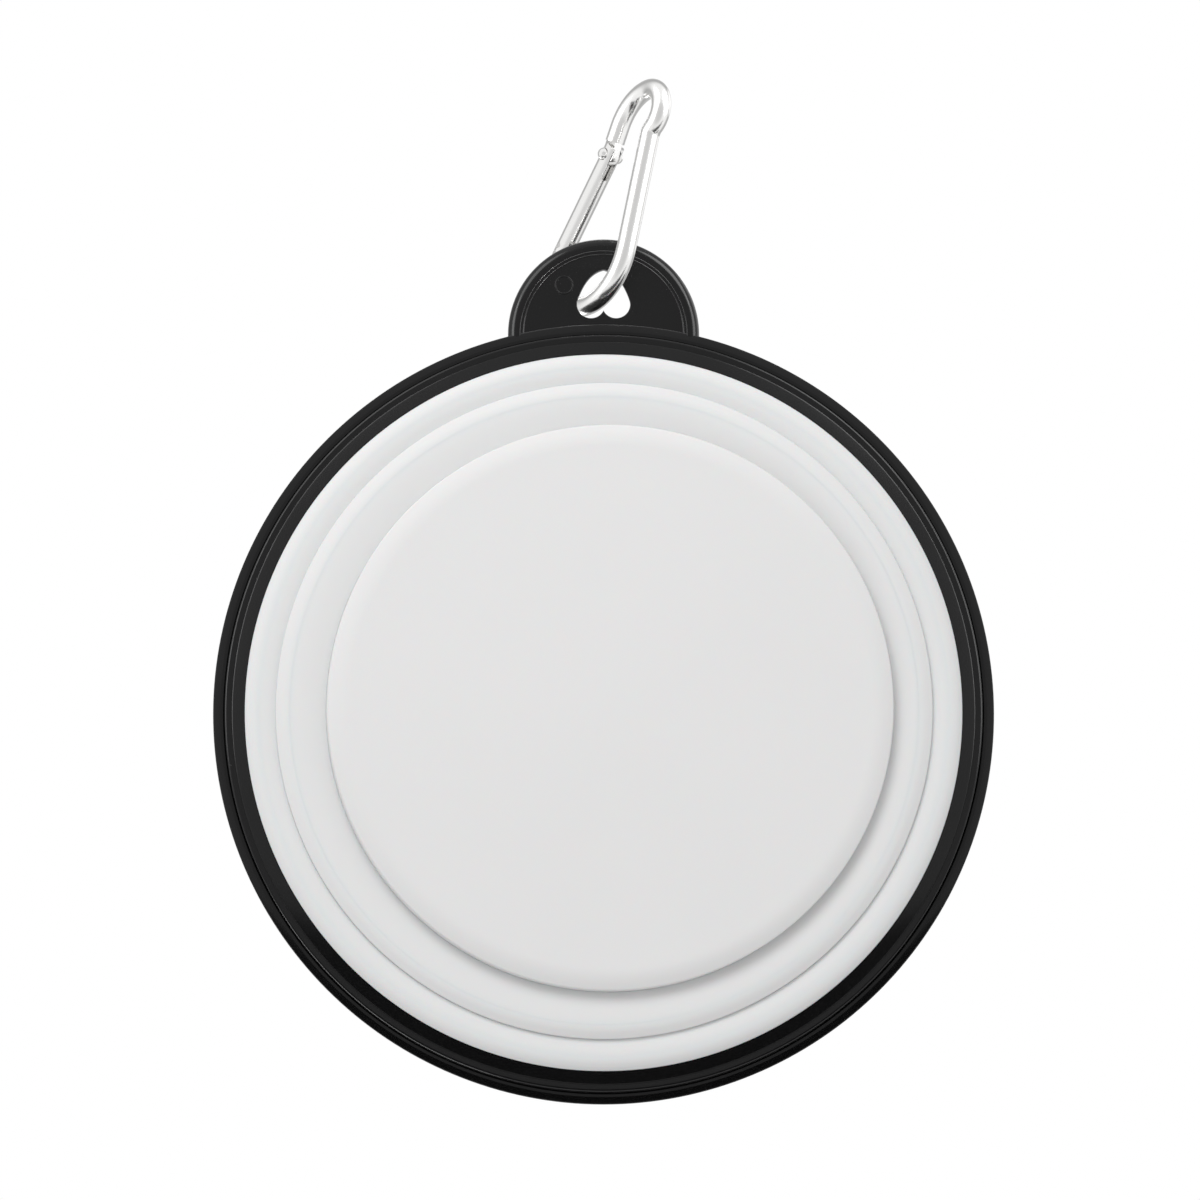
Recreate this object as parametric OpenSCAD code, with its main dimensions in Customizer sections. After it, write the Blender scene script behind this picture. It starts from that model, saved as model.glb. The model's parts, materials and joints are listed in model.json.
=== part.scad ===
// Collapsible silicone travel bowl, folded flat, with a snap clip through the tab of its rim.
// The foot's underside lies on z = 0 and is centred on the origin. The tab points along +Y.
// Sizes are in millimetres and angles in degrees.

/* [Rim] */
// Outside diameter of the rim
rim_d = 130; // [110:0.5:150]
// Width of the rim, from the collar's outer face to the rim's outer edge
rim_band = 5.15; // [4.6:0.05:6]
// Height of the rim's top above the foot, with the bowl folded
rim_top = 14.4; // [13.8:0.1:16]
// Thickness of the rim's top plate
plate_t = 2; // [1.6:0.1:2.4]
// Overhang of the top plate past the collar's outer face
plate_lap = 1.2; // [0.8:0.1:1.6]
// Width of the rim's outer skirt
skirt_w = 1.9; // [1.6:0.1:2.2]
// Depth of the skirt, from the rim's top to its lower edge
skirt_h = 5.8; // [5:0.1:6.4]
// Rounding of the rim's top outer edge
rim_round = 1.5; // [0.6:0.1:1.8]
// Height of the clamp ring
clamp_h = 6.2; // [5:0.1:7]
// Rounding of the clamp ring's lower edges
clamp_round = 0.5; // [0.2:0.1:0.9]
// Radius of the snap bead on the clamp ring
snap_r = 0.4; // [0.3:0.05:0.5]
// How far the snap bead stands out of the clamp ring
snap_out = 0.35; // [0.25:0.05:0.4]

/* [Tab] */
// Radius of the tab's round end
tab_r = 16; // [14:0.5:19]
// Distance of the tab's centre inside the rim's outer edge
tab_inset = 1.5; // [0:0.1:3]
// Thickness of the tab's floor
tab_floor_t = 2; // [1.4:0.1:2.2]
// Drop of the tab's upper face below the rim's top
tab_drop = 2.8; // [2:0.1:3.2]
// Width of the tab's raised border
border_w = 2.8; // [2:0.1:3.4]
// How far the border stands below the tab's floor
border_proud = 0.8; // [0.3:0.1:1]
// Rounding of the border's edges
border_round = 0.7; // [0.2:0.1:0.9]
// Width of the heart hole, past two diameters of the clip's rod
heart_play = 2.3; // [2:0.1:3]
// Radius of each lobe of the heart, past the radius of the clip's rod
lobe_play = 0.7; // [0.6:0.05:0.9]
// Distance from the heart's lobe centres to its tip, past one diameter of the clip's rod
tip_play = 2.5; // [2:0.1:3]
// Distance from the rim's outer edge to the heart's lobes
heart_clear = 1.15; // [0.8:0.05:1.6]
// Where the heart's side curve bends, as a share of the heart's width
bulge_side = 0.325; // [0.3:0.005:0.4]
// Where the heart's side curve bends, as a share of the way to its tip
bulge_tip = 0.885; // [0.8:0.005:0.95]
// Diameter of the round moulding mark on the tab's floor
mark_d = 3; // [2:0.1:4]
// Depth of the moulding mark
mark_deep = 0.15; // [0.05:0.05:0.3]
// Distance of the moulding mark from the tab's centre line
mark_side = 6.6; // [6:0.1:8]
// Distance of the moulding mark from the tab's centre
mark_out = 8.2; // [6:0.1:9]

/* [Silicone bowl] */
// Width from the step ring's outer face to the collar's outer face
collar_step = 5.15; // [4.4:0.05:6.5]
// Width from the cup's outer face to the step ring's outer face
cup_step = 7.45; // [6.2:0.05:9]
// Thickness of the cup, step ring and collar walls
wall_t = 2; // [1.6:0.1:2.3]
// Thickness of the thin folds
fold_t = 1.1; // [0.8:0.1:1.3]
// Thickness of the cup's floor
floor_t = 2.4; // [1.8:0.1:3.5]
// Rounding of the foot's edge
foot_round = 1.4; // [0.6:0.1:2]
// Rounding of the rings' lower outer edges
ring_round = 1.2; // [0.6:0.1:1.5]
// Height of the step ring's underside above the foot
step_rise = 2.6; // [1.5:0.1:3.2]
// Height of the collar's underside above the foot
collar_rise = 3.6; // [3:0.1:4]
// How far each fold lets its ring travel when the bowl opens
fold_travel = 20; // [18:0.5:20]
// Width of the step ring's underside, with its half of the fold
step_tread = 4.6; // [4.2:0.1:5]
// How far the upper fold leans in towards the step ring, from its foot to its crest
upper_lean = 0.2; // [0:0.05:0.3]
// Reach of the cup's top edge outside its wall, up to the lower fold
cup_lip = 0.77; // [0.6:0.01:1]
// Reach of the step ring's top edge outside its wall, up to the upper fold
step_lip = 0.33; // [0.25:0.01:0.4]
// Thickness of the collar's edge under the top plate
edge_t = 1.5; // [1:0.1:1.8]

/* [Clip] */
// Diameter of the clip's rod
rod_d = 3.3; // [3:0.05:3.4]
// Straight leg above the hinge
leg_l = 5.2; // [4.6:0.1:6]
// Bend radius of the first part of the small loop
loop_r1 = 8.2; // [7.6:0.1:8.8]
// Bend angle of the first part of the small loop
loop_a1 = 64; // [60:1:68]
// Bend radius of the second part of the small loop
loop_r2 = 4; // [3.7:0.1:4.4]
// Turn of the spine from the line of the leg, once round the small loop and the waist
spine_turn = 167.5; // [164:0.5:171]
// Bend radius of the waist
waist_r = 2.3; // [2:0.1:2.8]
// Bend angle of the waist
waist_a = 43.5; // [42:0.5:46]
// Length of the straight spine
spine_l = 19.2; // [18.6:0.1:19.6]
// Bend radius of the large loop
bow_r = 10.2; // [10:0.1:10.4]
// Bend angle of the large loop, up to the tighter nose bend
bow_a = 140; // [130:1:142]
// Bend radius of the nose, between the large loop and the gate
nose_r = 5.28; // [4.6:0.02:6]
// Turn of the clip across the tab
clip_turn = 18.7; // [17:0.1:20]
// Tilt of the clip's small loop below the tab
clip_tilt = 7; // [6:0.1:8]
// Roll of the clip about its own length
clip_roll = 125; // [123:0.5:127]
// Sideways place of the rod in the heart hole, from the tab's centre line
cross_side = 1.07; // [0.9:0.01:1.2]
// Place of the rod in the heart hole, from the heart's lobe centres towards its tip
cross_out = 0.83; // [0.7:0.01:1]

/* [Gate and latch] */
// Thickness of the flat tongues at the hinge and the nose
tongue_t = 1.3; // [1:0.05:1.4]
// Radius of the hinge tongue's round end
tongue_r = 1.75; // [1.5:0.05:1.8]
// Trim of the tongue's neck on the side that the gate opens to
neck_trim = 0.4; // [0.2:0.05:0.6]
// Distance from the hinge to the tongue's flat end
tongue_flat = 1.45; // [1.3:0.05:1.5]
// Distance from the hinge to the round end of the gate's fork
fork_r = 2; // [1.7:0.05:2.1]
// Depth of the fork's slot, from the hinge
fork_slot = 4; // [3.6:0.1:5]
// Solid length of the gate between its bore and its nose slot
bore_wall = 3.82; // [3:0.02:5]
// Diameter of the plunger
plunger_d = 1.4; // [1.2:0.05:1.45]
// Length of the plunger
plunger_l = 4.6; // [3.6:0.1:5]
// Diameter of the hinge rivet's shank
rivet_d = 1.2; // [1:0.05:1.3]
// Radius of the hinge rivet's domed heads
rivet_head_r = 1.05; // [0.9:0.05:1.1]
// Distance of the rivet heads' seats from the gate's axis
rivet_seat = 1.35; // [1.2:0.05:1.4]
// Diameter of the latch pin
pin_d = 1; // [0.8:0.05:1.1]
// Length of the latch pin
pin_l = 3; // [2.8:0.05:3.1]
// Distance of the latch pin from the gate's free end
pin_in = 1.2; // [1:0.05:1.4]
// Width of the nose tongue
nose_w = 2.7; // [2.4:0.1:2.9]
// Length of the nose tongue
nose_l = 2.6; // [2.4:0.1:3]
// Wire diameter of the gate's spring
wire_d = 0.25; // [0.2:0.01:0.28]
// Outside diameter of the gate's spring
spring_d = 1.25; // [1.1:0.05:1.35]
// Turns of the gate's spring
spring_turns = 8; // [6:1:9]

/* [Fits] */
// Gap where one piece of the folded silicone ends and the next starts
fold_gap = 0.1; // [0.05:0.01:0.15]
// Gap between the cup's wall and the lower fold, at its crest
cup_gap = 1.15; // [0.8:0.05:1.5]
// Gap between the step ring's wall and the upper fold, at its crest
step_gap = 0.3; // [0.2:0.05:0.4]
// Gap between the collar's edge and the rim's skirt
edge_gap = 0.95; // [0.6:0.05:1.3]
// Gap between the clip's spine and the tab's border, at the start of the large loop
border_gap = 0.99; // [0.8:0.01:1.2]
// Gap between the clamp ring and the skirt
seam_gap = 0.2; // [0.15:0.01:0.3]
// Gap between the clamp ring and the silicone
grip_gap = 0.1; // [0.05:0.01:0.15]
// Gap round the snap bead in its groove
snap_gap = 0.1; // [0.05:0.01:0.12]
// Gap on each side of a tongue in its slot
slot_gap = 0.1; // [0.06:0.01:0.12]
// Running gap round the rivet in the tongue
pivot_gap = 0.05; // [0.03:0.01:0.08]
// Gap round a rivet or pin in the gate's walls
press_gap = 0.02; // [0.01:0.01:0.03]
// Running gap round the plunger
plunger_gap = 0.05; // [0.03:0.01:0.08]
// Gap between the plunger's head and the tongue, and between its tail and the spring
plunger_rest = 0.1; // [0.06:0.01:0.15]
// Gap between the gate's free end and the nose
nose_gap = 0.25; // [0.2:0.01:0.3]
// Gap past the end of the nose tongue in the gate's slot
nose_room = 0.5; // [0.4:0.05:0.6]
// Gap round the latch pin in the nose's notch
notch_gap = 0.15; // [0.1:0.01:0.2]
// Gap beside the rivet heads in their seats
seat_gap = 0.1; // [0.05:0.01:0.15]
// Gap between the fork's round end and the shoulder of the clip's leg
shoulder_gap = 0.4; // [0.3:0.05:0.5]

/* [Hidden] */
$fn = 96;

soft_white = [0.88, 0.88, 0.87];
moulded_black = [0.03, 0.03, 0.03];
bright_metal = [0.8, 0.8, 0.82];

// Reach past a face in a cut
over = 1;

rim_r = rim_d / 2;
collar_r = rim_r - rim_band;
step_r = collar_r - collar_step;
base_r = step_r - cup_step;
fold_h = fold_travel / 2;
cup_top = step_rise + fold_h;
step_top = collar_rise + fold_h;
plate_low = rim_top - plate_t;
skirt_low = rim_top - skirt_h;
skirt_in = rim_r - skirt_w;
plate_in = collar_r - plate_lap;
clamp_out = skirt_in - seam_gap;
clamp_in = collar_r + grip_gap;
clamp_top = plate_low - edge_t;
clamp_low = clamp_top - clamp_h;
snap_z = (skirt_low + clamp_top) / 2 + snap_r;

// Where the thin folds meet the rings they join
step_seam = step_r - wall_t - fold_t / 2;
cup_seam = base_r + cup_lip;
collar_seam = collar_r - wall_t - fold_t / 2;
crest_seam = step_r + step_lip;
lower_foot = step_r - step_tread + fold_t / 2;
lower_crest = base_r + cup_gap + fold_t / 2;
upper_crest = step_r + step_gap + fold_t / 2;
upper_foot = upper_crest + upper_lean;
edge_out = skirt_in - edge_gap;

tab_y = rim_r - tab_inset;
tab_top = rim_top - tab_drop;
tab_low = tab_top - tab_floor_t;
tab_mid = tab_top - tab_floor_t / 2;
border_low = tab_low - border_proud;
border_mid = tab_r - border_w / 2;
skirt_mid = rim_r - skirt_w / 2;
leg_end = sqrt(skirt_mid * skirt_mid - tab_r * tab_r);

// Outline of the right half of the heart: the lobe, then a curve to the tip
heart_w = 2 * rod_d + heart_play;
heart_lobe_r = rod_d / 2 + lobe_play;
heart_tip = rod_d + tip_play;
heart_y = rim_r + heart_clear + heart_lobe_r;
lobe_x = heart_w / 2 - heart_lobe_r;
cusp_a = 180 + acos(lobe_x / heart_lobe_r);
lobe_end_a = 375;
lobe_steps = 24;
side_steps = 12;
lobe_arc = [for (i = [0 : lobe_steps])
    let (a = cusp_a + (lobe_end_a - cusp_a) * i / lobe_steps)
    [lobe_x + heart_lobe_r * cos(a), heart_lobe_r * sin(a)]];
side_start = lobe_arc[lobe_steps];
side_pull = [heart_w * bulge_side, heart_tip * bulge_tip];
side_tip = [0, heart_tip];
side_arc = [for (i = [1 : side_steps])
    let (t = i / side_steps)
    side_start * (1 - t) * (1 - t) + side_pull * 2 * t * (1 - t) + side_tip * t * t];
heart_half = concat(lobe_arc, side_arc);

// Bends of the clip's rod, from the hinge: [0, length] is straight, [radius, angle] is a bend,
// and a positive angle bends it in towards the loop
rod_r = rod_d / 2;
collar_out = 0.05;
collar_l = 0.4;
shoulder = fork_r + shoulder_gap;
loop_a2 = spine_turn + waist_a - loop_a1;
bends_to_spine = [[0, leg_l - shoulder], [loop_r1, loop_a1], [loop_r2, loop_a2], [waist_r, -waist_a],
    [0, spine_l]];
bends_to_bow = concat(bends_to_spine, [[bow_r, bow_a]]);

// Place and heading after one bend, as [x, y, heading]
function after(p, b) =
    b[0] == 0
    ? [p[0] + b[1] * cos(p[2]), p[1] + b[1] * sin(p[2]), p[2]]
    : let (s = sign(b[1]), h = p[2] - b[1])
      [p[0] + s * b[0] * (sin(p[2]) - sin(h)), p[1] - s * b[0] * (cos(p[2]) - cos(h)), h];
function run(p, bends, i = 0) = i == len(bends) ? p : run(after(p, bends[i]), bends, i + 1);

// The nose bend ends where a line from the hinge touches it, and the gate lies along that line
bow_end = run([0, shoulder, 90], bends_to_bow);
bow_side = [sin(bow_end[2]), -cos(bow_end[2])];
nose_mid = [bow_end[0] + nose_r * bow_side[0], bow_end[1] + nose_r * bow_side[1]];
gate_head = atan2(nose_mid[1], nose_mid[0]) + 180 - asin(nose_r / norm(nose_mid));
gate_lean = 90 - gate_head;
nose_a = bow_end[2] - gate_head + 360;
all_bends = concat(bends_to_bow, [[nose_r, nose_a]]);
nose_end = run([0, shoulder, 90], all_bends);
gate_l = norm([nose_end[0], nose_end[1]]);

// Where the large loop crosses the middle of the tab's floor, once the spine clears the border
cross_drop = (tab_mid - border_low + rod_r + border_gap) / (sin(clip_roll) * cos(clip_tilt));
cross_a = acos(1 - cross_drop / bow_r);
cross = run([0, shoulder, 90], concat(bends_to_spine, [[bow_r, cross_a]]));

slot_w = tongue_t + 2 * slot_gap;
gate_end = gate_l - nose_gap;
pin_y = gate_end - pin_in;
notch_w = pin_d + 2 * notch_gap;
nose_tip = gate_l - nose_l;
nose_slot = nose_tip - nose_room;
bore_d = plunger_d + 2 * plunger_gap;
bore_end = nose_slot - bore_wall;
plunger_head = tongue_flat + plunger_rest;
plunger_tail = plunger_head + plunger_l;

// The spring is one tube along a helix
spring_r = (spring_d - wire_d) / 2;
spring_low = plunger_tail + plunger_rest + wire_d / 2;
spring_high = bore_end - plunger_rest - wire_d / 2;
ring_steps = 8;
ring_sides = 6;
spring_rings = spring_turns * ring_steps;
spring_pitch = (spring_high - spring_low) / spring_turns;
echo(spring_least_gap = spring_pitch - wire_d);

// Bar of a given width and height with rounded corners, standing on its lower left corner
module rounded_bar(w, h, r) {
    translate([r, 0]) square([w - 2 * r, h]);
    translate([0, r]) square([w, h - 2 * r]);
    for (x = [r, w - r]) {
        for (y = [r, h - r]) {
            translate([x, y]) circle(r);
        }
    }
}

// Strip of even thickness from a to b with round ends
module strip(a, b, t) {
    d = b - a;
    translate(a) rotate(atan2(d[1], d[0])) {
        translate([0, -t / 2]) square([norm(d), t]);
        circle(d = t);
        translate([norm(d), 0]) circle(d = t);
    }
}

// Half of a soft profile, spun about the bowl's axis
module spun() {
    rotate_extrude($fn = 180) children();
}

// Thin fold: tread from the outer ring's seam, leaning wall, and crest to the inner ring's seam
module fold_profile(outer_seam, foot, crest, inner_seam, low) {
    low_mid = low + fold_t / 2;
    high_mid = low + fold_h - fold_t / 2;
    difference() {
        union() {
            strip([outer_seam, low_mid], [foot, low_mid], fold_t);
            strip([foot, low_mid], [crest, high_mid], fold_t);
            strip([crest, high_mid], [inner_seam, high_mid], fold_t);
        }
        translate([outer_seam, low - over]) square([fold_t + over, fold_h / 2]);
        translate([inner_seam - fold_t - over, low + fold_h / 2]) square([fold_t + over, fold_h]);
    }
}

// Ring wall on a rounded tread that reaches in to the seam
module ring_profile(out, low, high, seam) {
    translate([out - wall_t, low + ring_round]) square([wall_t, high - low - ring_round]);
    translate([seam, low]) square([out - ring_round - seam, fold_t]);
    intersection() {
        translate([out - ring_round, low + ring_round]) circle(ring_round);
        translate([out - wall_t, low]) square([wall_t, 2 * ring_round]);
    }
    translate([out - wall_t, low + fold_t / 2]) square([wall_t - ring_round, ring_round]);
}

module bowl_base() {
    color(soft_white) spun() {
        square([base_r - foot_round, floor_t]);
        translate([base_r - foot_round, foot_round]) circle(foot_round);
        translate([base_r - wall_t, foot_round]) square([wall_t, cup_top - foot_round - fold_t / 2]);
        translate([base_r - wall_t + fold_t / 2, cup_top - fold_t]) {
            square([cup_seam - base_r + wall_t - fold_t / 2 - fold_gap, fold_t]);
        }
        translate([base_r - wall_t + fold_t / 2, cup_top - fold_t / 2]) circle(d = fold_t);
    }
}

module lower_fold() {
    color(soft_white) spun() {
        fold_profile(step_seam - fold_gap, lower_foot, lower_crest, cup_seam, step_rise);
    }
}

module step_ring() {
    color(soft_white) spun() {
        ring_profile(step_r, step_rise, step_top - fold_t / 2, step_seam);
        translate([step_r - wall_t + fold_t / 2, step_top - fold_t]) {
            square([crest_seam - step_r + wall_t - fold_t / 2 - fold_gap, fold_t]);
        }
        translate([step_r - wall_t + fold_t / 2, step_top - fold_t / 2]) circle(d = fold_t);
    }
}

module upper_fold() {
    color(soft_white) spun() {
        fold_profile(collar_seam - fold_gap, upper_foot, upper_crest, crest_seam, collar_rise);
    }
}

module bowl_collar() {
    color(soft_white) spun() {
        ring_profile(collar_r, collar_rise, plate_low, collar_seam);
        translate([collar_r - wall_t, clamp_top]) square([edge_out - collar_r + wall_t, edge_t]);
    }
}

module rim_profile() {
    plate_mid = plate_low + plate_t / 2;
    difference() {
        union() {
            translate([plate_in + plate_t / 2, plate_low]) {
                square([rim_r - rim_round - plate_in - plate_t / 2, plate_t]);
            }
            translate([plate_in + plate_t / 2, plate_mid]) circle(d = plate_t);
            intersection() {
                translate([rim_r - rim_round, rim_top - rim_round]) circle(rim_round);
                translate([rim_r - rim_round, rim_top - rim_round]) square(rim_round);
            }
            translate([skirt_in, skirt_low + skirt_w / 2]) {
                square([skirt_w, rim_top - rim_round - skirt_low - skirt_w / 2]);
            }
            translate([skirt_mid, skirt_low + skirt_w / 2]) circle(d = skirt_w);
        }
        translate([clamp_out + snap_out - snap_r, snap_z]) circle(snap_r + snap_gap);
    }
}

module tab_outline() {
    difference() {
        union() {
            translate([0, tab_y]) circle(tab_r - border_w / 2);
            translate([-border_mid, leg_end]) square([2 * border_mid, tab_y - leg_end]);
        }
        circle(skirt_mid, $fn = 180);
    }
}

module heart() {
    polygon(heart_half);
    mirror([1, 0]) polygon(heart_half);
}

module tab_border() {
    bar_h = tab_top - border_low;
    translate([0, tab_y, border_low]) {
        rotate_extrude(angle = 180) {
            translate([tab_r - border_w, 0]) rounded_bar(border_w, bar_h, border_round);
        }
    }
    for (x = [-tab_r, tab_r - border_w]) {
        translate([x, tab_y, border_low]) rotate([90, 0, 0]) {
            linear_extrude(tab_y - leg_end) rounded_bar(border_w, bar_h, border_round);
        }
    }
}

module rim_frame() {
    color(moulded_black) difference() {
        union() {
            spun() rim_profile();
            translate([0, 0, tab_low]) linear_extrude(tab_floor_t) tab_outline();
            tab_border();
        }
        translate([0, heart_y, tab_low - over]) linear_extrude(tab_floor_t + 2 * over) heart();
        translate([mark_side, tab_y + mark_out, tab_low - over]) cylinder(d = mark_d, h = over + mark_deep);
    }
}

module clamp_ring() {
    color(moulded_black) spun() {
        translate([clamp_in, clamp_low]) {
            rounded_bar(clamp_out - clamp_in, clamp_h, clamp_round);
        }
        translate([clamp_out + snap_out - snap_r, snap_z]) circle(snap_r);
    }
}

// Clip frame: the hinge is at the origin, the leg runs up +Y and the loop lies towards +X
module clip_place() {
    translate([cross_side, heart_y + cross_out, tab_mid]) {
        rotate([0, 0, clip_turn]) rotate([-clip_tilt, 0, 0]) rotate([0, clip_roll, 0]) {
            translate([-cross[0], -cross[1], 0]) children();
        }
    }
}

// Gate frame: the hinge is at the origin, and the gate runs along +Y to the nose
module gate_place() {
    clip_place() rotate([0, 0, 180 - gate_lean]) children();
}

module rod(l) {
    rotate([-90, 0, 0]) cylinder(d = rod_d, h = l);
}

// Straights and bends joined end to end, each joint inside a thin collar
module bent_rod(bends, i = 0) {
    if (i > 0 && i < len(bends)) {
        rotate([90, 0, 0]) cylinder(r = rod_r + collar_out, h = collar_l, center = true);
    }
    if (i < len(bends)) {
        r = bends[i][0];
        a = bends[i][1];
        if (r == 0) {
            rod(a);
            translate([0, a, 0]) bent_rod(bends, i + 1);
        } else if (a > 0) {
            translate([r, 0, 0]) {
                rotate([0, 0, 180 - a]) rotate_extrude(angle = a) translate([r, 0]) circle(d = rod_d);
                rotate([0, 0, -a]) translate([-r, 0, 0]) bent_rod(bends, i + 1);
            }
        } else {
            translate([-r, 0, 0]) {
                rotate_extrude(angle = -a) translate([r, 0]) circle(d = rod_d);
                rotate([0, 0, -a]) translate([r, 0, 0]) bent_rod(bends, i + 1);
            }
        }
    }
}

// Flat tongue in the clip's plane
module tongue() {
    linear_extrude(tongue_t, center = true) children();
}

module clip_body() {
    color(bright_metal) clip_place() {
        translate([0, shoulder, 0]) bent_rod(all_bends);
        difference() {
            union() {
                tongue() circle(tongue_r);
                tongue() translate([-tongue_r, 0]) square([2 * tongue_r - neck_trim, shoulder + rod_r]);
            }
            rotate([0, 0, 180 - gate_lean]) translate([-rod_d, tongue_flat, -rod_d]) cube(2 * rod_d);
            cylinder(d = rivet_d + 2 * pivot_gap, h = rod_d, center = true);
        }
        rotate([0, 0, 180 - gate_lean]) difference() {
            tongue() translate([-nose_w / 2, nose_tip]) {
                square([nose_w, nose_l + rod_r / 2]);
            }
            translate([0, pin_y, 0]) cylinder(d = notch_w, h = rod_d, center = true);
            translate([-rod_d, pin_y - notch_w / 2, -rod_r]) cube([rod_d, notch_w, rod_d]);
        }
    }
}

module clip_gate() {
    color(bright_metal) gate_place() difference() {
        union() {
            rod(gate_end);
            intersection() {
                translate([0, -fork_r, 0]) rod(fork_r);
                cylinder(r = fork_r, h = rod_d, center = true);
            }
        }
        translate([-rod_d, -rod_d, -slot_w / 2]) cube([2 * rod_d, rod_d + fork_slot, slot_w]);
        translate([-rod_d, nose_slot, -slot_w / 2]) cube([2 * rod_d, gate_l, slot_w]);
        rotate([-90, 0, 0]) cylinder(d = bore_d, h = bore_end);
        cylinder(d = rivet_d + 2 * press_gap, h = 2 * rod_d, center = true);
        for (side = [0, 180]) {
            rotate([0, side, 0]) translate([0, 0, rivet_seat]) {
                cylinder(r = rivet_head_r + seat_gap, h = rod_d);
            }
        }
        translate([0, pin_y, 0]) cylinder(d = pin_d + 2 * press_gap, h = 2 * rod_d, center = true);
    }
}

module hinge_rivet() {
    color(bright_metal) gate_place() {
        cylinder(d = rivet_d, h = 2 * rivet_seat, center = true);
        for (side = [0, 180]) {
            rotate([0, side, 0]) translate([0, 0, rivet_seat]) intersection() {
                sphere(rivet_head_r);
                cylinder(r = rivet_head_r, h = rivet_head_r);
            }
        }
    }
}

module latch_pin() {
    color(bright_metal) gate_place() {
        translate([0, pin_y, 0]) cylinder(d = pin_d, h = pin_l, center = true);
    }
}

module plunger() {
    color(bright_metal) gate_place() {
        translate([0, plunger_head, 0]) rotate([-90, 0, 0]) cylinder(d = plunger_d, h = plunger_l);
    }
}

module gate_spring() {
    rings = [for (i = [0 : spring_rings])
        let (a = 360 * i / ring_steps, y = spring_low + spring_pitch * i / ring_steps)
        for (k = [0 : ring_sides - 1])
        let (b = 360 * k / ring_sides, q = spring_r + wire_d / 2 * cos(b))
        [q * cos(a), y + wire_d / 2 * sin(b), -q * sin(a)]];
    last = spring_rings * ring_sides;
    sides = [for (i = [0 : spring_rings - 1])
        for (k = [0 : ring_sides - 1])
        let (n = (k + 1) % ring_sides, p = i * ring_sides, q = p + ring_sides)
        each [[p + k, p + n, q + n], [p + k, q + n, q + k]]];
    start_cap = [for (k = [ring_sides - 1 : -1 : 0]) k];
    end_cap = [for (k = [0 : ring_sides - 1]) last + k];
    color(bright_metal) gate_place() {
        polyhedron(points = rings, faces = concat([start_cap], sides, [end_cap]), convexity = 10);
    }
}

bowl_base();
lower_fold();
step_ring();
upper_fold();
bowl_collar();
rim_frame();
clamp_ring();
clip_body();
clip_gate();
hinge_rivet();
latch_pin();
plunger();
gate_spring();
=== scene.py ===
# %% [markdown]
# # A folding travel bowl, dressed around its CAD frame
# The real object is a soft white silicone bowl, folded flat, whose edge is clamped in a black
# rim. A plated snap clip hangs through the heart-shaped hole in the rim's tab. The photograph
# looks at its underside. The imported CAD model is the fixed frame: it gives the places and the
# joints, and this lesson gives each piece its finished surface.

# %% Load the frame
import json
import math

import bmesh
import bpy
import numpy as np
from mathutils import Matrix, Vector


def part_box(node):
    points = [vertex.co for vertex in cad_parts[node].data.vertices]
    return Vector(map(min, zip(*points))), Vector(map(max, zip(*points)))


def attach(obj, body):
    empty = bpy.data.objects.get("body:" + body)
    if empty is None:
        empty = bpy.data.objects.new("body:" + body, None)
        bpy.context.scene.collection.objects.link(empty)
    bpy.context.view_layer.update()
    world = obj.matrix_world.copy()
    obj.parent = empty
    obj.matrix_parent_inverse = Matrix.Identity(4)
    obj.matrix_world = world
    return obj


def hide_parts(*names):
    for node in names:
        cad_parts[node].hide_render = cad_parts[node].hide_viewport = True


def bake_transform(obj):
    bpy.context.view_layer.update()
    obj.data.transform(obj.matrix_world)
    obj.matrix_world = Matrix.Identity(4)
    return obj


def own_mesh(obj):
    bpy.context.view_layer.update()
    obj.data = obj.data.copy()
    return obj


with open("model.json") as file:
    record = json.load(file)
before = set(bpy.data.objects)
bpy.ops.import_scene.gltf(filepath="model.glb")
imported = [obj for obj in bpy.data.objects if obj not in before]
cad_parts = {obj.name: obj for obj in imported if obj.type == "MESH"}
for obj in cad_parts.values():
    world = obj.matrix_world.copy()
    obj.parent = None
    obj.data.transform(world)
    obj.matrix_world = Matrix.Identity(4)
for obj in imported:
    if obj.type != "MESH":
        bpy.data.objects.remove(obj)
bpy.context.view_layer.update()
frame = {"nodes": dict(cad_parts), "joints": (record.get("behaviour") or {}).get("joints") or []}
MM = 0.001

# %% [markdown]
# ## Sizes
# The heights of the rings and the rim, and the seams, come from the frame, so that they follow
# the CAD if it changes. The radii and walls of the soft moulding are named here, in metres. A
# seam is the circle where one stiff ring of the silicone ends and a thin fold starts. It lies on
# a flat stretch of the surface, so two pieces that meet there shade as one.

# %% Sizes read from the frame
def low(node):
    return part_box(node)[0].z


def top(node):
    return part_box(node)[1].z


def reach(node):
    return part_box(node)[1].x


cup_top, step_low, step_top = top("bowl_base"), low("step_ring"), top("step_ring")
collar_low, collar_top, edge_r = low("bowl_collar"), top("bowl_collar"), reach("bowl_collar")
cup_seam, step_seam = reach("bowl_base"), reach("lower_fold")
crest_seam, collar_seam = reach("step_ring"), reach("upper_fold")
rim_r, rim_top, skirt_low = reach("rim_frame"), top("rim_frame"), low("rim_frame")
clamp_low, clamp_top = low("clamp_ring"), top("clamp_ring")

cup_r, step_r, collar_r = 46.85 * MM, 54.43 * MM, 59.5 * MM
wall, fold, floor_t = 2 * MM, 1.1 * MM, 2.4 * MM
print("Seams in mm:", [round(r / MM, 2) for r in (cup_seam, step_seam, crest_seam, collar_seam)])

# %% [markdown]
# ## Camera
# The photograph looks almost straight up at the foot, with the tab at the top of the picture.
# The near foot sits a little higher in the picture than the rim does, so the camera leans by a
# few degrees. A long lens far away gives the photograph's flat perspective.

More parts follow.
